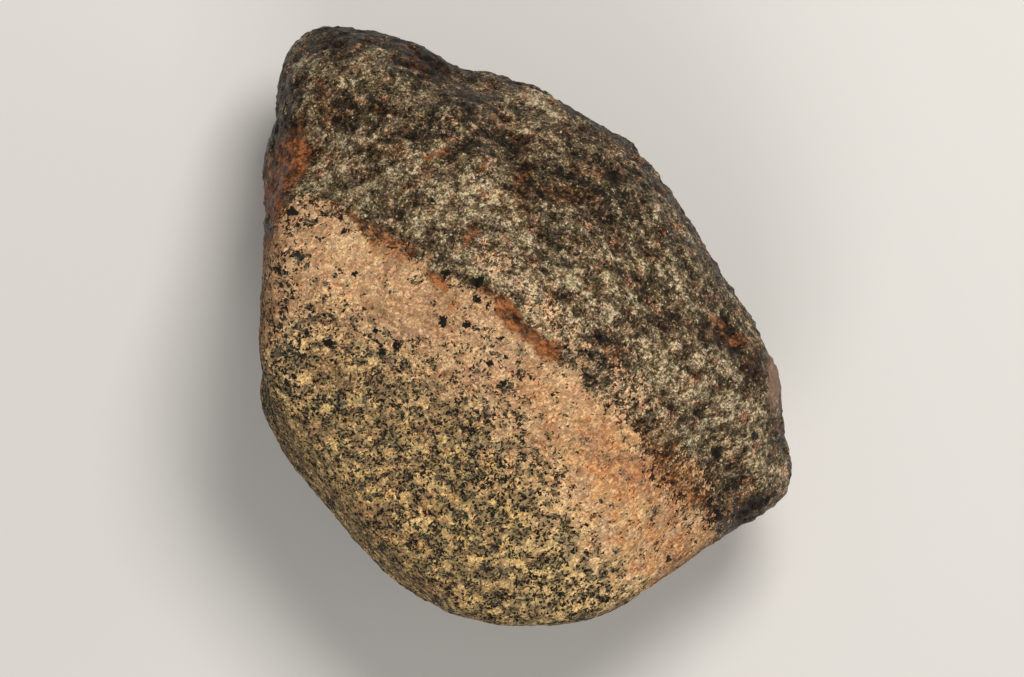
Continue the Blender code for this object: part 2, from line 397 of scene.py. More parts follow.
# Half the width of the band in which the stain fades out at its edge, in pixels, and how much wider
# the band is on the right, past a stretch of the photograph in which it widens
STAIN_FADE = 15
STAIN_FADE_MORE = 18
STAIN_FADE_FROM = 540
STAIN_FADE_TO = 640

# How far the stain's edge wanders in pixels, finely all over and broadly on the hidden sides
EDGE_WANDER = 6
EDGE_WANDER_BELOW = 26

# How far every patch's edge wanders in pixels, and over what distance
PATCH_WANDER = 4
PATCH_WANDER_SPACING = 5 * MM

# The distance from one broad or middling change of tone to the next
BROAD_SPACING = 17 * MM
MIDDLING_SPACING = 7 * MM

# How strong the broad swells are, beside those that the photograph shows
BROAD_SWELL = 0.12

# How far down the sides the patches of the photograph fade out. Below, a zone lies where the broad
# change of tone, from about -1 to 1, goes from the first value to the second, at the given strength
PATCHES_FADE = 25 * MM
HIDDEN_RUST = (0.45, 0.7, 0.5)
HIDDEN_BROWN = (0.1, -0.5, 1.0)
HIDDEN_FLUSH = (0.0, 0.5, 0.6)

# How softly the edges of patches fade, as a share of their size, and those of rust and black grains
SOFT_EDGE = 1.0
SHARP_EDGE = 0.5

# The way that the folds of the crust run, in degrees, and how much longer than wide they are
FOLDS_TURN = 20
FOLDS_LONGER = 1.8

# The way that the stain was brushed on, in degrees
BRUSHED_TURN = -40

# The sizes of the mineral grains in millimetres. Laths run two ways, and have turns in degrees and
# shapes of their own
LARGE_GRAIN = 2.0
MIDDLE_GRAIN = 1.35
SMALL_GRAIN = 0.85
LATH = 0.8
LATH_TURN = (29, 17, 40)
LATH_SHAPE = (1.9, 0.75, 0.9)
CROSS_TURN = (-23, 29, -52)
CROSS_SHAPE = (1.7, 0.7, 0.9)

# The material's noises, from the finest to the broadest: the spacing of each in millimetres, and how
# many finer layers it has. Bends are those of the outlines of the grains
FINE = (0.9, 2.0)
BENDS = (1.6, 2.0)
STREAKS = (1.6, 3.0)
WISPS = (3.2, 2.0)
CLUMPS = (4.2, 3.0)
CLUSTERS = (4.6, 1.0)
STAINS = (7.0, 3.0)
DRIFT = (13.0, 3.0)
NOISE_ROUGHNESS = 0.55

# How far the outlines of the grains bend, in millimetres
GRAIN_BEND = 2.2

# How much longer than wide the streaks and wisps of the stain are
STREAKS_LONGER = 5.0

# How much the height of a spot in millimetres paints it: painted highlights on the crests and painted
# shade in the hollows of the relief
RISE_PAINTED_LIGHT = 0.36

# The finish of the bare crust and of the stain over it, and how far single grains catch the light
CRUST_ROUGHNESS = 0.42
STAIN_ROUGHNESS = 0.85
SPECULAR = 0.16
CRUST_GLINTS = 0.8
STAIN_GLINTS = 0.25

# How high the finest grains stand
BUMP_HEIGHT = 0.4 * MM

# How far single grains part from the colour around them, as tints about mid grey, and how much of
# that is left in the stain
MID_GREY = (0.5, 0.5, 0.5)
REDDER = (0.13, -0.063, -0.034)
YELLOWER = (0.035, 0.0, -0.14)
TINT_IN_STAIN = 0.75

# The relief's inputs and the sizes that set them
RELIEF_INPUTS = {
    "Fold spacing": "fold_spacing",
    "Fold height": "fold_height",
    "Lump spacing": "lump_spacing",
    "Lump height": "lump_height",
    "Grain spacing": "grain_spacing",
    "Grain height": "grain_height",
    "Swell height": "swell_height",
}

# The share of each kind of relief that is left under the stain, and how many finer layers each has
RELIEF_UNDER_STAIN = {"Fold": 0.3, "Lump": 0.35, "Grain": 0.5}
RELIEF_DETAIL = 2.0

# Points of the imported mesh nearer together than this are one
MERGE_WITHIN = 0.01 * MM

# The studio: the floor's half width in metres and its finish, the surround's light, and the soft
# lamps, each with its place and width in metres, its power in watts and its light
FLOOR_REACH = 3
FLOOR_ROUGHNESS = 0.8
SURROUND_LIGHT = (1.0, 0.97, 0.93)
SURROUND_STRENGTH = 0.25
LAMPS = (
    ("key", (0.30, 0.60, 1.4), 0.5, 16.8, (1.0, 0.95, 0.87)),
    ("side", (1.1, 0.1, 0.4), 0.5, 1.5, (1.0, 0.88, 0.76)),
    ("fill", (-0.1, -0.9, 1.1), 0.7, 5.5, (1.0, 0.96, 0.90)),
)


def linear(shade):
    """A colour given as on a screen, from 0 to 255, as the light that it stands for."""
    return tuple(c / 255 / 12.92 if c < 10.3 else ((c / 255 + 0.055) / 1.055) ** 2.4 for c in shade)


def smooth_step(low, high, values):
    """Zero below low, one above high, and a smooth rise between."""
    share = np.clip((values - low) / (high - low), 0, 1)
    return share * share * (3 - 2 * share)


def seen_in_photo(points):
    """Where points of the stone lie in the photograph, in pixels across and down."""
    reach = CAMERA_REACH + OUTLINE_HEIGHT - points[:, 2]
    scale = PHOTO_WIDE / PHOTO_SPAN * CAMERA_REACH / reach
    across = PHOTO_WIDE / 2 + (points[:, 0] - PHOTO_MIDDLE[0]) * scale
    down = PHOTO_HIGH / 2 - (points[:, 1] - PHOTO_MIDDLE[1]) * scale
    return np.stack((across, down), axis=1)


def depth_past(line, places):
    """How far places lie past a line of points, positive below it and to its left."""
    nearest = np.full(len(places), np.inf)
    depth = np.zeros(len(places))
    for start, end in zip(line, line[1:]):
        start = np.array(start, float)
        along = np.array(end, float) - start
        share = np.clip((places - start) @ along / (along @ along), 0, 1)
        away = places - start - share[:, None] * along
        length = np.hypot(away[:, 0], away[:, 1])
        side = np.sign(along[0] * away[:, 1] - along[1] * away[:, 0])
        closer = length < nearest
        nearest = np.where(closer, length, nearest)
        depth = np.where(closer, length * side, depth)
    return depth


def patches(found, places, edge=SOFT_EDGE):
    """The strongest of some patches at each place, fading out towards the edge of each."""
    most = np.zeros(len(places))
    for patch in found:
        turn = math.radians(patch.turn)
        away = places - (patch.across, patch.down)
        lengthways = (away[:, 0] * math.cos(turn) + away[:, 1] * math.sin(turn)) / patch.long
        sideways = (away[:, 1] * math.cos(turn) - away[:, 0] * math.sin(turn)) / patch.wide
        from_middle = np.hypot(lengthways, sideways)
        most = np.maximum(most, patch.strength * (1 - smooth_step(1 - edge, 1 + edge, from_middle)))
    return most


def lumpiness(points, spacing, seed):
    """Smooth noise between about -1 and 1 at each point, with lumps of a given spacing."""
    start = Vector((seed, -seed, seed * 2))
    return np.array([noise.noise(Vector(point) / spacing + start) for point in points])


def hidden_zone(broad, low, high, strength):
    """How strong a zone is on the hidden sides, from the broad change of tone there."""
    return strength * smooth_step(low, high, broad)


def map_zones(mesh):
    """Writes the stone's zones on its mesh as attributes that its relief and material read."""
    points = np.zeros(len(mesh.vertices) * 3, np.float32)
    mesh.vertices.foreach_get("co", points)
    points = points.reshape(-1, 3).astype(float)
    places = seen_in_photo(points)
    wander = np.stack([lumpiness(points, PATCH_WANDER_SPACING, seed) for seed in (3, 8)], axis=1)
    places = places + PATCH_WANDER * wander
    below = np.clip(OUTLINE_HEIGHT - points[:, 2], 0, None)
    top = smooth_step(-PATCHES_FADE, 0, points[:, 2] - OUTLINE_HEIGHT)
    broad = lumpiness(points, BROAD_SPACING, seed=11)
    middling = lumpiness(points, MIDDLING_SPACING, seed=5)
    depth = depth_past(STAIN_EDGE, places) + below * STAIN_SPREAD_BELOW
    depth = depth + (1 - top) * EDGE_WANDER_BELOW * broad
    fade = STAIN_FADE + STAIN_FADE_MORE * smooth_step(STAIN_FADE_FROM, STAIN_FADE_TO, places[:, 0])
    inside = smooth_step(-1, 1, (depth + EDGE_WANDER * middling) / fade)
    worn = smooth_step(SPECKS_FROM, SPECKS_TO, depth)
    specks = SPECKS_NEAR + SPECKS_FAR * worn + SPECKS_WANDER * middling
    specks = specks + top * (patches(SPECKED_STAIN, places) - patches(BARE_STAIN, places))
    leans = np.array([normal.vector.z for normal in mesh.vertex_normals])
    side = smooth_step(SIDE_FROM, 0, leans) * smooth_step(UNDERSIDE_TO, UNDERSIDE_FROM, leans)
    # The swells: painted highlights and painted shade from the patches, with a broad random change of tone.
    # They raise the relief and lighten or darken the colour
    swell = top * (patches(LIT_SWELLS, places) - patches(SHADED_HOLLOWS, places)) + BROAD_SWELL * broad
    zones = {
        "coat": np.maximum(inside * (1 - SIDE_BARER * side), top * patches(DUSTED_CRUST, places)),
        "specks": np.clip(specks + SIDE_SPECKS * side, 0, SPECKS_MOST),
        "worn": worn,
        "rust": top * patches(RUST, places, SHARP_EDGE) + (1 - top) * hidden_zone(broad, *HIDDEN_RUST),
        "brown": top * patches(BROWN, places) + (1 - top) * hidden_zone(broad, *HIDDEN_BROWN),
        "rim_highlight": patches(RIM_HIGHLIGHT, places),
        "clot": top * patches(CLOTS, places, SHARP_EDGE),
        # Painted light and shade: the swells' painted highlights and shade, and painted shade on the steep
        # sides
        "tone": swell - SIDE_PAINTED_SHADE * side,
        "swell": swell,
        "flush": top * patches(FLUSHED_STAIN, places) + (1 - top) * hidden_zone(broad, *HIDDEN_FLUSH),
        "yellow": smooth_step(YELLOW_FROM, YELLOW_TO, depth) * (1 - patches(PINK_STAIN, places)),
    }
    for name, values in zones.items():
        attribute = mesh.attributes.new(name, "FLOAT", "POINT")
        attribute.data.foreach_set("value", values.astype(np.float32))


def add_node(tree, kind, inputs=None, **settings):
    """Adds a node to a tree. Each input, by name or number, gets a plain value or another's output."""
    node = tree.nodes.new(kind)
    for name, value in settings.items():
        setattr(node, name, value)
    for key, value in (inputs or {}).items():
        if isinstance(value, bpy.types.NodeSocket):
            tree.links.new(value, node.inputs[key])
        else:
            node.inputs[key].default_value = value
    return node


def math_node(tree, operation, first, second=0.0, clamp=False):
    """One sum or product of two numbers."""
    inputs = {0: first, 1: second}
    return add_node(tree, "ShaderNodeMath", inputs, operation=operation, use_clamp=clamp).outputs[0]


def total(tree, *terms, plus=0.0):
    """The weighted sum of (weight, number) terms, plus a number that centres it."""
    result = 0.0
    for weight, value in terms:
        share = add_node(tree, "ShaderNodeMath", {0: value, 1: weight, 2: result}, operation="MULTIPLY_ADD")
        result = share.outputs[0]
    return math_node(tree, "ADD", result, plus) if plus else result


def ramp(tree, low, high, value, first=0.0, last=1.0):
    """A smooth rise from first to last as the value goes from low to high."""
    inputs = {"Value": value, "From Min": low, "From Max": high, "To Min": first, "To Max": last}
    return add_node(tree, "ShaderNodeMapRange", inputs, interpolation_type="SMOOTHSTEP").outputs[0]


def vector_node(tree, operation, *vectors):
    """One sum or product of vectors."""
    return add_node(tree, "ShaderNodeVectorMath", dict(enumerate(vectors)), operation=operation).outputs[0]


def scaled(tree, vector, share):
    """A vector made longer or shorter."""
    return add_node(tree, "ShaderNodeVectorMath", {0: vector, "Scale": share}, operation="SCALE").outputs[0]


def turned(tree, place, turns, stretch):
    """Places turned by degrees about X, Y and Z and stretched, for grains that run one way."""
    inputs = {"Vector": place, "Rotation": tuple(math.radians(turn) for turn in turns), "Scale": stretch}
    return add_node(tree, "ShaderNodeMapping", inputs, vector_type="TEXTURE").outputs[0]


def noise_node(tree, place, spacing, detail):
    """Noise about one half, with lumps of a given spacing in millimetres: a number, and three in a colour."""
    inputs = {"Vector": place, "Scale": 1 / spacing, "Detail": detail, "Roughness": NOISE_ROUGHNESS}
    return add_node(tree, "ShaderNodeTexNoise", inputs)


def parts_of(tree, colour):
    """The three numbers of a colour."""
    return add_node(tree, "ShaderNodeSeparateColor", {0: colour}).outputs


def cells(tree, place, size):
    """A mosaic of grains of a given size in millimetres."""
    node = add_node(tree, "ShaderNodeTexVoronoi", {"Vector": place, "Scale": 1 / size})
    colour = node.outputs["Color"]
    return Cells(parts_of(tree, colour), colour, node.outputs["Distance"])


def zone(tree, name):
    """One of the stone's zones, as the material reads it."""
    return add_node(tree, "ShaderNodeAttribute", attribute_name=name).outputs["Fac"]


def zone_in_relief(tree, name):
    """One of the stone's zones, as the relief reads it."""
    return add_node(tree, "GeometryNodeInputNamedAttribute", {"Name": name}, data_type="FLOAT").outputs[0]


def mix_colour(tree, share, first, second, blend="MIX"):
    """Two colours mixed by a share of the second."""
    if not isinstance(second, bpy.types.NodeSocket):
        second = (*second, 1)
    inputs = {0: share, 6: first, 7: second}
    return add_node(tree, "ShaderNodeMix", inputs, data_type="RGBA", blend_type=blend).outputs[2]


def colour_ramp(tree, value, *stops):
    """A colour picked by a number from stops of (place, colour)."""
    node = add_node(tree, "ShaderNodeValToRGB", {0: value})
    elements = node.color_ramp.elements
    elements.remove(elements[1])
    elements[0].position = stops[0][0]
    elements[0].color = (*stops[0][1], 1)
    for place, colour in stops[1:]:
        elements.new(place).color = (*colour, 1)
    return node.outputs[0]


def read_spot(tree):
    """The mosaics of grains, the noises and the zones that the stone's material is made of."""
    here = add_node(tree, "ShaderNodeTexCoord").outputs["Object"]
    place = add_node(tree, "ShaderNodeMapping", {"Vector": here, "Scale": (1 / MM,) * 3}).outputs[0]
    swing = vector_node(tree, "SUBTRACT", noise_node(tree, place, *BENDS).outputs["Color"], MID_GREY)
    bent = vector_node(tree, "MULTIPLY_ADD", swing, (GRAIN_BEND,) * 3, place)
    brushed = turned(tree, place, (0, 0, BRUSHED_TURN), (STREAKS_LONGER, 1.0, 1.0))
    return Spot(
        large=cells(tree, bent, LARGE_GRAIN),
        middle=cells(tree, bent, MIDDLE_GRAIN),
        small=cells(tree, bent, SMALL_GRAIN),
        lath=cells(tree, turned(tree, bent, LATH_TURN, LATH_SHAPE), LATH),
        cross=cells(tree, turned(tree, bent, CROSS_TURN, CROSS_SHAPE), LATH),
        fine=noise_node(tree, place, *FINE).outputs[0],
        streaks=noise_node(tree, brushed, *STREAKS).outputs[0],
        wisps=noise_node(tree, brushed, *WISPS).outputs[0],
        clumps=noise_node(tree, place, *CLUMPS).outputs[0],
        clusters=noise_node(tree, place, *CLUSTERS).outputs[0],
        stains=parts_of(tree, noise_node(tree, place, *STAINS).outputs["Color"]),
        drift=noise_node(tree, place, *DRIFT).outputs[0],
        coat=zone(tree, "coat"),
        worn=zone(tree, "worn"),
        # Painted highlights and shade: the zone's painted light and shade, with lighter crests and darker
        # hollows of the relief
        tone=total(tree, (1.0, zone(tree, "tone")), (RISE_PAINTED_LIGHT, zone(tree, "rise"))),
    )


def mineral_mosaic(tree, spot):
    """How light the mosaic of mineral grains is, about zero."""
    return total(
        tree,
        (-0.34, spot.large.random[0]),
        (0.34, spot.small.random[0]),
        (0.22, spot.lath.random[0]),
        (0.22, spot.cross.random[0]),
        (1.0, spot.clumps),
        (0.8, spot.drift),
        (0.8, spot.fine),
        plus=-1.52,
    )


def pale_flecks(tree, spot):
    """How far pale laths of mineral stand out of the mosaic."""
    flecks = []
    for laths in (spot.lath, spot.cross):
        core = ramp(tree, 0.46, 0.28, laths.distance)
        flecks.append((0.30, math_node(tree, "MULTIPLY", core, ramp(tree, 0.6, 0.72, laths.random[1]))))
    return total(tree, *flecks)


def soil_film(tree, spot):
    """How light the film of soil is, about zero. It was brushed on, and caught between the grains."""
    return total(
        tree,
        (1.0, spot.clumps),
        (1.2, spot.streaks),
        (0.9, spot.fine),
        (0.34, spot.small.random[0]),
        (0.26, spot.middle.random[1]),
        (0.26, spot.lath.random[0]),
        (0.26, spot.cross.random[0]),
        (0.6, spot.drift),
        plus=-2.41,
    )


def crust_colour(tree, colours, spot, mosaic, flecks):
    """The bare crust: minerals that turn greyer, browner with soil or rustier from place to place, with
    painted highlights and painted shade in their lightness.
    """
    # The lightness takes in the painted highlights and painted shade
    lightness = total(tree, (1.0, mosaic), (1.0, flecks), (0.72, spot.tone), (-0.2, spot.coat), plus=0.34)
    minerals = colour_ramp(
        tree,
        lightness,
        (0.0, colours.crust_black),
        (0.22, colours.crust_dark),
        (0.42, colours.crust_brown),
        (0.60, colours.crust_fawn),
        (0.78, colours.crust_buff),
        (1.0, colours.crust_cream),
    )
    cool = ramp(tree, 0.52, 0.66, spot.stains[0], 0.0, 0.5)
    crust = mix_colour(tree, cool, minerals, colours.crust_grey, "SOFT_LIGHT")
    # Brown soil in patches and at random, partly painted shade: it is stronger where the painted shade is
    # darker
    soil_and_shade = total(tree, (1.1, zone(tree, "brown")), (1.6, spot.stains[1]), (-0.5, spot.tone), plus=-0.95)
    soil_and_shade = ramp(tree, 0.0, 0.8, soil_and_shade, 0.0, 0.85)
    crust = mix_colour(tree, soil_and_shade, crust, colours.crust_soil, "OVERLAY")
    warm = total(tree, (1.0, spot.stains[2]), (0.4, spot.clumps), (0.15, spot.small.random[2]), plus=-0.775)
    warm = ramp(tree, 0.07, 0.22, warm, 0.0, 0.55)
    return mix_colour(tree, warm, crust, colours.crust_rust, "OVERLAY")


def stain_colour(tree, colours, spot, mosaic, flecks, film):
    """The soil stain: pink near its edge and ochre far in, with wisps, blotches and freckles, and painted
    highlights and painted shade in its mottle.
    """
    # The mottle takes in the painted highlights and painted shade
    mottle = total(
        tree,
        (0.80, film),
        (0.85, math_node(tree, "MULTIPLY", mosaic, spot.worn)),
        (0.4, math_node(tree, "MULTIPLY", flecks, spot.worn)),
        (0.6, spot.tone),
        (-0.3, spot.clusters),
        (0.12, spot.worn),
        plus=0.79,
    )
    pink = colour_ramp(
        tree,
        mottle,
        (0.0, colours.pink_dark),
        (0.25, colours.pink_deep),
        (0.60, colours.pink),
        (1.0, colours.pink_light),
    )
    ochre = colour_ramp(
        tree,
        mottle,
        (0.0, colours.ochre_dark),
        (0.25, colours.ochre_deep),
        (0.60, colours.ochre),
        (1.0, colours.ochre_light),
    )
    hue = total(tree, (0.75, zone(tree, "yellow")), (0.6, spot.drift), plus=-0.3)
    stain = mix_colour(tree, hue, pink, ochre)
    flushed = ramp(tree, 0.36, 0.62, spot.stains[1], 0.0, 0.6)
    flushed = math_node(tree, "MULTIPLY", zone(tree, "flush"), flushed)
    stain = mix_colour(tree, flushed, stain, colours.flush, "SOFT_LIGHT")
    wispy = ramp(tree, 0.54, 0.68, spot.wisps, 0.0, 0.4)
    stain = mix_colour(tree, wispy, stain, colours.wisp)
    blotchy = total(
        tree, (0.8, spot.clumps), (0.6, spot.clusters), (0.5, spot.stains[0]), (0.24, spot.worn), plus=-0.95,
    )
    blotchy = ramp(tree, 0.12, 0.3, blotchy, 0.0, 0.6)
    stain = mix_colour(tree, blotchy, stain, colours.blotch)
    freckled = total(
        tree,
        (0.6, spot.stains[2]),
        (0.5, spot.clumps),
        (-1.0, spot.lath.random[1]),
        (-0.3, spot.lath.distance),
    )
    freckled = ramp(tree, -0.28, -0.18, freckled, 0.0, 0.5)
    return mix_colour(tree, freckled, stain, colours.freckle)


def with_dark_grains(tree, colours, spot, mosaic, stain):
    """The stain with dark grains of three sizes that show through it."""
    specks = zone(tree, "specks")
    speck = 0.0
    for share, clumped, random, distance, start in (
        (1.0, 1.0, spot.middle.random[0], spot.middle.distance, -0.985),
        (0.9, 0.7, spot.lath.random[2], spot.lath.distance, -0.755),
        (0.8, 0.4, spot.small.random[1], spot.small.distance, -0.625),
    ):
        layer = total(
            tree,
            (share, specks),
            (clumped, spot.clumps),
            (0.75, spot.clusters),
            (0.3, spot.drift),
            (-1.0, random),
            (-0.3, distance),
            plus=start,
        )
        speck = math_node(tree, "MAXIMUM", ramp(tree, -0.012, 0.028, layer), speck)
    grain = colour_ramp(
        tree,
        total(tree, (0.9, mosaic), (0.5, spot.small.random[2]), plus=-0.05),
        (0.0, colours.grain_black),
        (0.3, colours.grain_dark),
        (0.6, colours.grain_grey),
    )
    return mix_colour(tree, speck, stain, grain)


def coat_share(tree, spot):
    """How much of the stain is left. It wears through at its edge, grain by grain."""
    show = total(
        tree,
        (0.35, spot.large.random[0]),
        (0.30, spot.small.random[1]),
        (1.10, spot.clumps),
        (0.45, spot.fine),
        plus=-0.60,
    )
    return ramp(tree, -0.05, 0.06, total(tree, (1.0, spot.coat), (1.0, show), plus=-1.0))


def with_tinted_grains(tree, spot, coated, colour):
    """Single grains are a little redder or greener, and yellower or bluer, than those around them."""
    redder = total(
        tree, (0.7, spot.large.random[2]), (0.5, spot.cross.random[2]), (1.2, spot.stains[2]), plus=-1.2,
    )
    yellower = total(tree, (0.7, spot.large.random[1]), (0.5, spot.middle.random[2]), (-1.2, spot.stains[0]))
    tint = vector_node(tree, "ADD", MID_GREY, scaled(tree, REDDER, redder))
    tint = vector_node(tree, "ADD", tint, scaled(tree, YELLOWER, yellower))
    tinted = ramp(tree, 0.0, 1.0, coated, 1.0, TINT_IN_STAIN)
    return mix_colour(tree, tinted, colour, tint, "SOFT_LIGHT")


def with_rust(tree, colours, spot, film, colour):
    """Rust over the crust and the stain, streaked at its edges."""
    rusty = total(
        tree,
        (1.0, zone(tree, "rust")),
        (0.9, spot.clumps),
        (0.9, spot.streaks),
        (0.3, spot.small.random[0]),
        plus=-1.05,
    )
    rust = colour_ramp(
        tree,
        total(tree, (1.1, film), (1.6, spot.clusters), plus=-0.38),
        (0.0, colours.rust_dark),
        (0.45, colours.rust),
        (1.0, colours.rust_light),
    )
    return mix_colour(tree, ramp(tree, 0.1, 1.0, rusty, 0.0, 0.94), colour, rust)


def with_rim_highlight_and_black_grains(tree, colours, spot, colour):
    """The painted highlight on the right rim, and the black grains that stand alone."""
    # Painted highlight: the right rim painted paler where a warm rim light falls
    rim_highlight = total(tree, (1.0, zone(tree, "rim_highlight")), (0.8, spot.clumps), plus=-0.4)
    colour = mix_colour(tree, ramp(tree, 0.2, 0.7, rim_highlight, 0.0, 0.7), colour, colours.rim_highlight)
    clot = total(tree, (1.0, zone(tree, "clot")), (0.6, spot.small.random[0]), (1.3, spot.fine), plus=-0.95)
    return mix_colour(tree, ramp(tree, 0.54, 0.66, clot), colour, colours.clot)


def add_finish(tree, shader, spot, coated):
    """A dull stain, small glints in the crust, and the finest relief."""
    dull = ramp(tree, 0.0, 1.0, coated, CRUST_ROUGHNESS, STAIN_ROUGHNESS)
    tree.links.new(dull, shader.inputs["Roughness"])
    shader.inputs["Specular IOR Level"].default_value = SPECULAR
    height = total(tree, (-0.6, spot.large.distance), (0.6, spot.small.random[0]), (0.6, spot.fine))
    raised = {"Height": height, "Distance": BUMP_HEIGHT, "Strength": 1.0}
    facing = add_node(tree, "ShaderNodeBump", raised).outputs[0]
    tilt = vector_node(tree, "SUBTRACT", spot.large.colour, MID_GREY)
    tilt = scaled(tree, tilt, ramp(tree, 0.0, 1.0, coated, CRUST_GLINTS, STAIN_GLINTS))
    facing = vector_node(tree, "NORMALIZE", vector_node(tree, "ADD", facing, tilt))
    tree.links.new(facing, shader.inputs["Normal"])


def stone_material(colours):
    """Dark crust of mineral grains, tan soil stain over it, rust and black grains."""
    material = bpy.data.materials.new("weathered stone")
    material.use_nodes = True
    tree = material.node_tree
    shader = tree.nodes["Principled BSDF"]
    spot = read_spot(tree)
    mosaic = mineral_mosaic(tree, spot)
    flecks = pale_flecks(tree, spot)
    film = soil_film(tree, spot)
    coated = coat_share(tree, spot)
    crust = crust_colour(tree, colours, spot, mosaic, flecks)
    stain = stain_colour(tree, colours, spot, mosaic, flecks, film)
    stain = with_dark_grains(tree, colours, spot, mosaic, stain)
    colour = mix_colour(tree, coated, crust, stain)
    colour = with_tinted_grains(tree, spot, coated, colour)
    colour = with_rust(tree, colours, spot, film, colour)
    colour = with_rim_highlight_and_black_grains(tree, colours, spot, colour)
    tree.links.new(colour, shader.inputs["Base Color"])
    add_finish(tree, shader, spot, coated)
    return material


def relief_wave(tree, given, kind, place):
    """How far one kind of relief rises or falls at a place. Folds have sharp crests."""
    scale = math_node(tree, "DIVIDE", 1.0, given[kind + " spacing"])
    wave = add_node(tree, "ShaderNodeTexNoise", {"Vector": place, "Scale": scale, "Detail": RELIEF_DETAIL})
    wave = math_node(tree, "SUBTRACT", wave.outputs[0], 0.5)
    if kind == "Fold":
        from_crest = math_node(tree, "ABSOLUTE", wave)
        wave = total(tree, (0.8, wave), (-1.4, from_crest), plus=0.14)
    return math_node(tree, "MULTIPLY", wave, given[kind + " height"])


def kept_above_ground(tree, geometry):
    """The stone with nothing below the ground that it rests on."""
    position = add_node(tree, "GeometryNodeInputPosition").outputs[0]
    parts = add_node(tree, "ShaderNodeSeparateXYZ", {0: position}).outputs
    level = math_node(tree, "MAXIMUM", parts[2], 0.0)
    held = add_node(tree, "ShaderNodeCombineXYZ", {0: parts[0], 1: parts[1], 2: level}).outputs[0]
    return add_node(tree, "GeometryNodeSetPosition", {"Geometry": geometry, "Position": held}).outputs[0]


def relief_tree(relief, material):
    """Geometry Nodes that raise the folds, lumps and grains of the crust and the swells of the stone."""
    tree = bpy.data.node_groups.new("stone relief", "GeometryNodeTree")
    face = tree.interface
    face.new_socket("Geometry", in_out="INPUT", socket_type="NodeSocketGeometry")
    for name in RELIEF_INPUTS:
        socket = face.new_socket(name, in_out="INPUT", socket_type="NodeSocketFloat")
        socket.subtype = "DISTANCE"
        socket.default_value = getattr(relief, RELIEF_INPUTS[name])
    face.new_socket("Geometry", in_out="OUTPUT", socket_type="NodeSocketGeometry")
    given = tree.nodes.new("NodeGroupInput").outputs
    result = tree.nodes.new("NodeGroupOutput")

    place = add_node(tree, "GeometryNodeInputPosition").outputs[0]
    turn = {"Vector": place, "Angle": math.radians(FOLDS_TURN)}
    folding = add_node(tree, "ShaderNodeVectorRotate", turn, rotation_type="Z_AXIS").outputs[0]
    folding = vector_node(tree, "MULTIPLY", folding, (1 / FOLDS_LONGER, 1.0, 1.0))
    crust = math_node(tree, "SUBTRACT", 1.0, zone_in_relief(tree, "coat"), clamp=True)
    lifts = []
    for kind, least in RELIEF_UNDER_STAIN.items():
        wave = relief_wave(tree, given, kind, folding if kind == "Fold" else place)
        share = total(tree, (1 - least, crust), plus=least)
        lifts.append((2.0, math_node(tree, "MULTIPLY", wave, share)))
    rise = total(tree, *lifts)
    in_millimetres = math_node(tree, "DIVIDE", rise, MM)
    stored = {"Geometry": given["Geometry"], "Name": "rise", "Value": in_millimetres}
    stored = add_node(tree, "GeometryNodeStoreNamedAttribute", stored, data_type="FLOAT", domain="POINT")

    swell = math_node(tree, "MULTIPLY", zone_in_relief(tree, "swell"), given["Swell height"])
    normal = add_node(tree, "GeometryNodeInputNormal").outputs[0]
    offset = scaled(tree, normal, math_node(tree, "ADD", rise, swell))
    moved = add_node(tree, "GeometryNodeSetPosition", {"Geometry": stored.outputs[0], "Offset": offset})
    rested = kept_above_ground(tree, moved.outputs[0])
    real = add_node(tree, "GeometryNodeRealizeInstances", {"Geometry": rested})
    dressed = add_node(tree, "GeometryNodeSetMaterial", {"Geometry": real.outputs[0], "Material": material})
    tree.links.new(dressed.outputs[0], result.inputs[0])
    return tree


def settle(piece):
    """Turns what a piece's modifiers make of it into its own plain mesh."""
    piece.update_tag()
    graph = bpy.context.evaluated_depsgraph_get()
    made = piece.evaluated_get(graph)
    mesh = bpy.data.meshes.new_from_object(made, preserve_all_data_layers=True, depsgraph=graph)
    piece.modifiers.clear()
    piece.data = mesh


def fine_copy(node, splits):
    """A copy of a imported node's mesh with its loose faces merged and split finer."""
    form = bmesh.new()
    form.from_mesh(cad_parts[node].data)
    bmesh.ops.remove_doubles(form, verts=form.verts, dist=MERGE_WITHIN)
    mesh = bpy.data.meshes.new("weathered stone")
    form.to_mesh(mesh)
    form.free()
    copy = bpy.data.objects.new("weathered_stone", mesh)
    bpy.context.scene.collection.objects.link(copy)
    finer = copy.modifiers.new("finer", "SUBSURF")
    finer.levels = splits
    finer.render_levels = splits
    settle(copy)
    return copy


def add_floor(shade):
    """A plain floor under the stone."""
    mesh = bpy.data.meshes.new("floor")
    form = bmesh.new()
    bmesh.ops.create_grid(form, x_segments=1, y_segments=1, size=FLOOR_REACH)
    form.to_mesh(mesh)
    form.free()
    floor = bpy.data.objects.new("floor", mesh)
    material = bpy.data.materials.new("pale floor")
    material.use_nodes = True
    shader = material.node_tree.nodes["Principled BSDF"]
    shader.inputs["Base Color"].default_value = (*shade, 1)
    shader.inputs["Roughness"].default_value = FLOOR_ROUGHNESS
    mesh.materials.append(material)
    bpy.context.scene.collection.objects.link(floor)


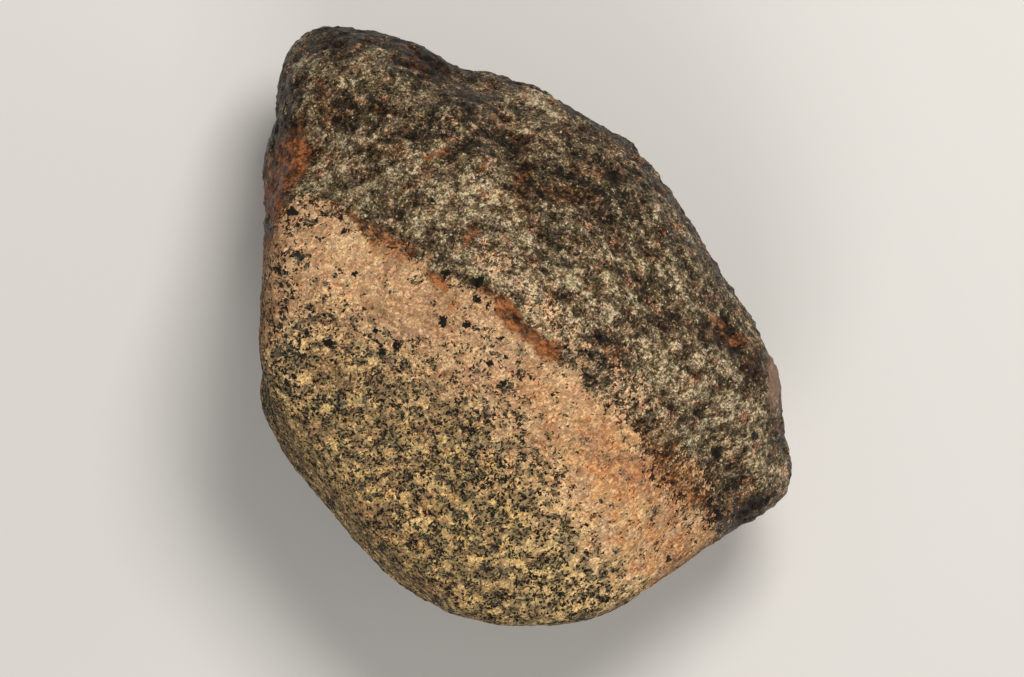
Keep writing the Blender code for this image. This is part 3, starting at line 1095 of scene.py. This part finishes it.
def add_lamps(strength):
    """A soft key lamp above the top of the picture, two weaker ones, and a pale surround."""
    world = bpy.data.worlds.new("studio")
    world.use_nodes = True
    surround = world.node_tree.nodes["Background"].inputs
    surround["Color"].default_value = (*SURROUND_LIGHT, 1)
    surround["Strength"].default_value = SURROUND_STRENGTH * strength
    bpy.context.scene.world = world
    for name, place, size, power, shade in LAMPS:
        lamp = bpy.data.lights.new(name, "AREA")
        lamp.shape = "SQUARE"
        lamp.size = size
        lamp.energy = power * strength
        lamp.color = shade
        holder = bpy.data.objects.new(name, lamp)
        holder.location = place
        holder.visible_camera = False
        aim = Vector((0, 0, OUTLINE_HEIGHT)) - holder.location
        holder.rotation_euler = aim.to_track_quat("-Z", "Y").to_euler()
        bpy.context.scene.collection.objects.link(holder)


def add_camera(lens):
    """A camera that looks straight down, from as far as its lens needs to span the photograph."""
    camera = bpy.data.cameras.new("camera")
    camera.lens = lens
    camera.sensor_width = SENSOR
    holder = bpy.data.objects.new("camera", camera)
    holder.location = (*PHOTO_MIDDLE, OUTLINE_HEIGHT + PHOTO_SPAN * lens / SENSOR)
    bpy.context.scene.collection.objects.link(holder)
    bpy.context.scene.camera = holder


def colour_choice(name, description, shade):
    """A colour that a user can change. Its default is given as on a screen, from 0 to 255."""
    return bpy.props.FloatVectorProperty(
        name=name, description=description, default=linear(shade), size=3, min=0, max=1, subtype="COLOR",
    )


def length_choice(name, description, default):
    """A length that a user can change."""
    return bpy.props.FloatProperty(
        name=name, description=description, default=default, min=0, subtype="DISTANCE", unit="LENGTH",
    )


class METEORITE_PG_relief(bpy.types.PropertyGroup):
    """Sizes of the stone's fine relief"""

    fold_spacing: length_choice("Fold spacing", "Distance from one fold of the crust to the next", 9 * MM)
    fold_height: length_choice("Fold height", "How far the folds of the crust rise and fall", 1.5 * MM)
    lump_spacing: length_choice("Lump spacing", "Distance from one lump of the crust to the next", 3.8 * MM)
    lump_height: length_choice("Lump height", "How far the lumps rise and fall", 1.15 * MM)
    grain_spacing: length_choice("Grain spacing", "Distance from one raised grain to the next", 2.4 * MM)
    grain_height: length_choice("Grain height", "How far the grains rise and fall", 0.95 * MM)
    swell_height: length_choice("Swell height", "How far the pale swells of the stone rise", 1 * MM)
    splits: bpy.props.IntProperty(
        name="Splits", description="How many times the packed faces are split", default=2, min=0, max=2,
    )


class METEORITE_PG_colours(bpy.types.PropertyGroup):
    """Colours of the stone's crust, soil stain and rust"""

    crust_black: colour_choice("Crust black", "The darkest grains of the crust", (20, 15, 8))
    crust_dark: colour_choice("Crust dark", "The dark grains of the crust", (48, 38, 24))
    crust_brown: colour_choice("Crust brown", "The brown grains of the crust", (83, 68, 47))
    crust_fawn: colour_choice("Crust fawn", "The middling grains of the crust", (121, 103, 78))
    crust_buff: colour_choice("Crust buff", "The pale grains of the crust", (160, 143, 113))
    crust_cream: colour_choice("Crust cream", "The palest grains of the crust", (220, 206, 173))
    crust_grey: colour_choice("Crust grey", "The tint of the greyer parts of the crust", (120, 117, 117))
    crust_soil: colour_choice("Crust soil", "The soil held in hollows of the crust", (138, 98, 62))
    crust_rust: colour_choice("Crust rust", "The rusty tint of parts of the crust", (168, 98, 56))
    pink_dark: colour_choice("Pink dark", "The darkest of the pink stain", (88, 62, 41))
    pink_deep: colour_choice("Pink deep", "The deeper pink stain", (149, 110, 79))
    pink: colour_choice("Pink", "The pink stain", (209, 163, 121))
    pink_light: colour_choice("Pink light", "The lightest of the pink stain", (250, 211, 165))
    ochre_dark: colour_choice("Ochre dark", "The darkest of the ochre stain", (62, 52, 34))
    ochre_deep: colour_choice("Ochre deep", "The deeper ochre stain", (131, 106, 70))
    ochre: colour_choice("Ochre", "The ochre stain", (203, 169, 114))
    ochre_light: colour_choice("Ochre light", "The lightest of the ochre stain", (252, 219, 146))
    flush: colour_choice("Flush", "The orange tint of parts of the pink stain", (255, 150, 60))
    wisp: colour_choice("Wisps", "The olive wisps brushed into the stain", (138, 112, 78))
    blotch: colour_choice("Blotches", "The soft dark blotches in the stain", (92, 82, 59))
    freckle: colour_choice("Freckles", "The brown freckles of the stain", (112, 88, 66))
    grain_black: colour_choice("Grain black", "The darkest grains in the stain", (18, 16, 12))
    grain_dark: colour_choice("Grain dark", "The dark grains in the stain", (48, 43, 33))
    grain_grey: colour_choice("Grain grey", "The grey grains in the stain", (100, 94, 77))
    rust_dark: colour_choice("Rust dark", "The darkest rust", (54, 30, 14))
    rust: colour_choice("Rust", "The rust", (116, 67, 35))
    rust_light: colour_choice("Rust light", "The lightest rust", (180, 112, 65))
    # The colour of the painted highlight on the right rim
    rim_highlight: colour_choice("Rim highlight", "The painted highlight on the right rim", (150, 120, 102))
    clot: colour_choice("Black grains", "The black grains that stand alone", (28, 25, 20))


class METEORITE_PG_stage(bpy.types.PropertyGroup):
    """The plain studio"""

    floor: colour_choice("Floor", "The floor's colour", (219, 219, 219))
    lamps: bpy.props.FloatProperty(
        name="Lamps", description="How strong all the lamps are", default=1.0, min=0, subtype="FACTOR",
    )
    lens: bpy.props.FloatProperty(
        name="Lens", description="The camera's focal length", default=LENS, min=1, subtype="DISTANCE_CAMERA",
    )


class METEORITE_OT_stone(bpy.types.Operator):
    """Adds the stone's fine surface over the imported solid"""

    bl_idname = "meteorite.stone"
    bl_label = "Stone"

    def execute(self, context):
        sizes = context.scene.meteorite_relief
        stone = fine_copy(NODE, sizes.splits)
        map_zones(stone.data)
        material = stone_material(context.scene.meteorite_colours)
        relief = stone.modifiers.new("relief", "NODES")
        relief.node_group = relief_tree(sizes, material)
        for socket in relief.node_group.interface.items_tree:
            if socket.name in RELIEF_INPUTS:
                relief[socket.identifier] = getattr(sizes, RELIEF_INPUTS[socket.name])
        settle(stone)
        stone.data.shade_smooth()
        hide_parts(NODE)
        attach(stone, BODY)
        return {"FINISHED"}


class METEORITE_OT_stage(bpy.types.Operator):
    """Adds a plain pale floor, soft lamps and the camera"""

    bl_idname = "meteorite.stage"
    bl_label = "Stage"

    def execute(self, context):
        stage = context.scene.meteorite_stage
        add_floor(stage.floor)
        add_lamps(stage.lamps)
        add_camera(stage.lens)
        context.scene.view_settings.view_transform = "Standard"
        return {"FINISHED"}


class METEORITE_PT_panel(bpy.types.Panel):
    """Lists the pieces that can be added, and their sizes and colours"""

    bl_label = "Meteorite"
    bl_idname = "METEORITE_PT_panel"
    bl_space_type = "VIEW_3D"
    bl_region_type = "UI"
    bl_category = "Meteorite"

    def draw(self, context):
        for operator in OPERATORS:
            self.layout.operator(operator.bl_idname)
        for name in SETTINGS:
            settings = getattr(context.scene, name)
            column = self.layout.column()
            for choice in SETTINGS[name].__annotations__:
                column.prop(settings, choice)


# What a scene holds for the user to change
SETTINGS = {
    "meteorite_relief": METEORITE_PG_relief,
    "meteorite_colours": METEORITE_PG_colours,
    "meteorite_stage": METEORITE_PG_stage,
}
OPERATORS = (METEORITE_OT_stone, METEORITE_OT_stage)
CLASSES = (*SETTINGS.values(), *OPERATORS, METEORITE_PT_panel)


def register():
    for cls in CLASSES:
        bpy.utils.register_class(cls)
    for name in SETTINGS:
        setattr(bpy.types.Scene, name, bpy.props.PointerProperty(type=SETTINGS[name]))


def unregister():
    for name in SETTINGS:
        delattr(bpy.types.Scene, name)
    for cls in reversed(CLASSES):
        bpy.utils.unregister_class(cls)


def main():
    register()
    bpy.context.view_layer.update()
    bpy.ops.meteorite.stone()
    bpy.ops.meteorite.stage()


if __name__ == "__main__":
    main()
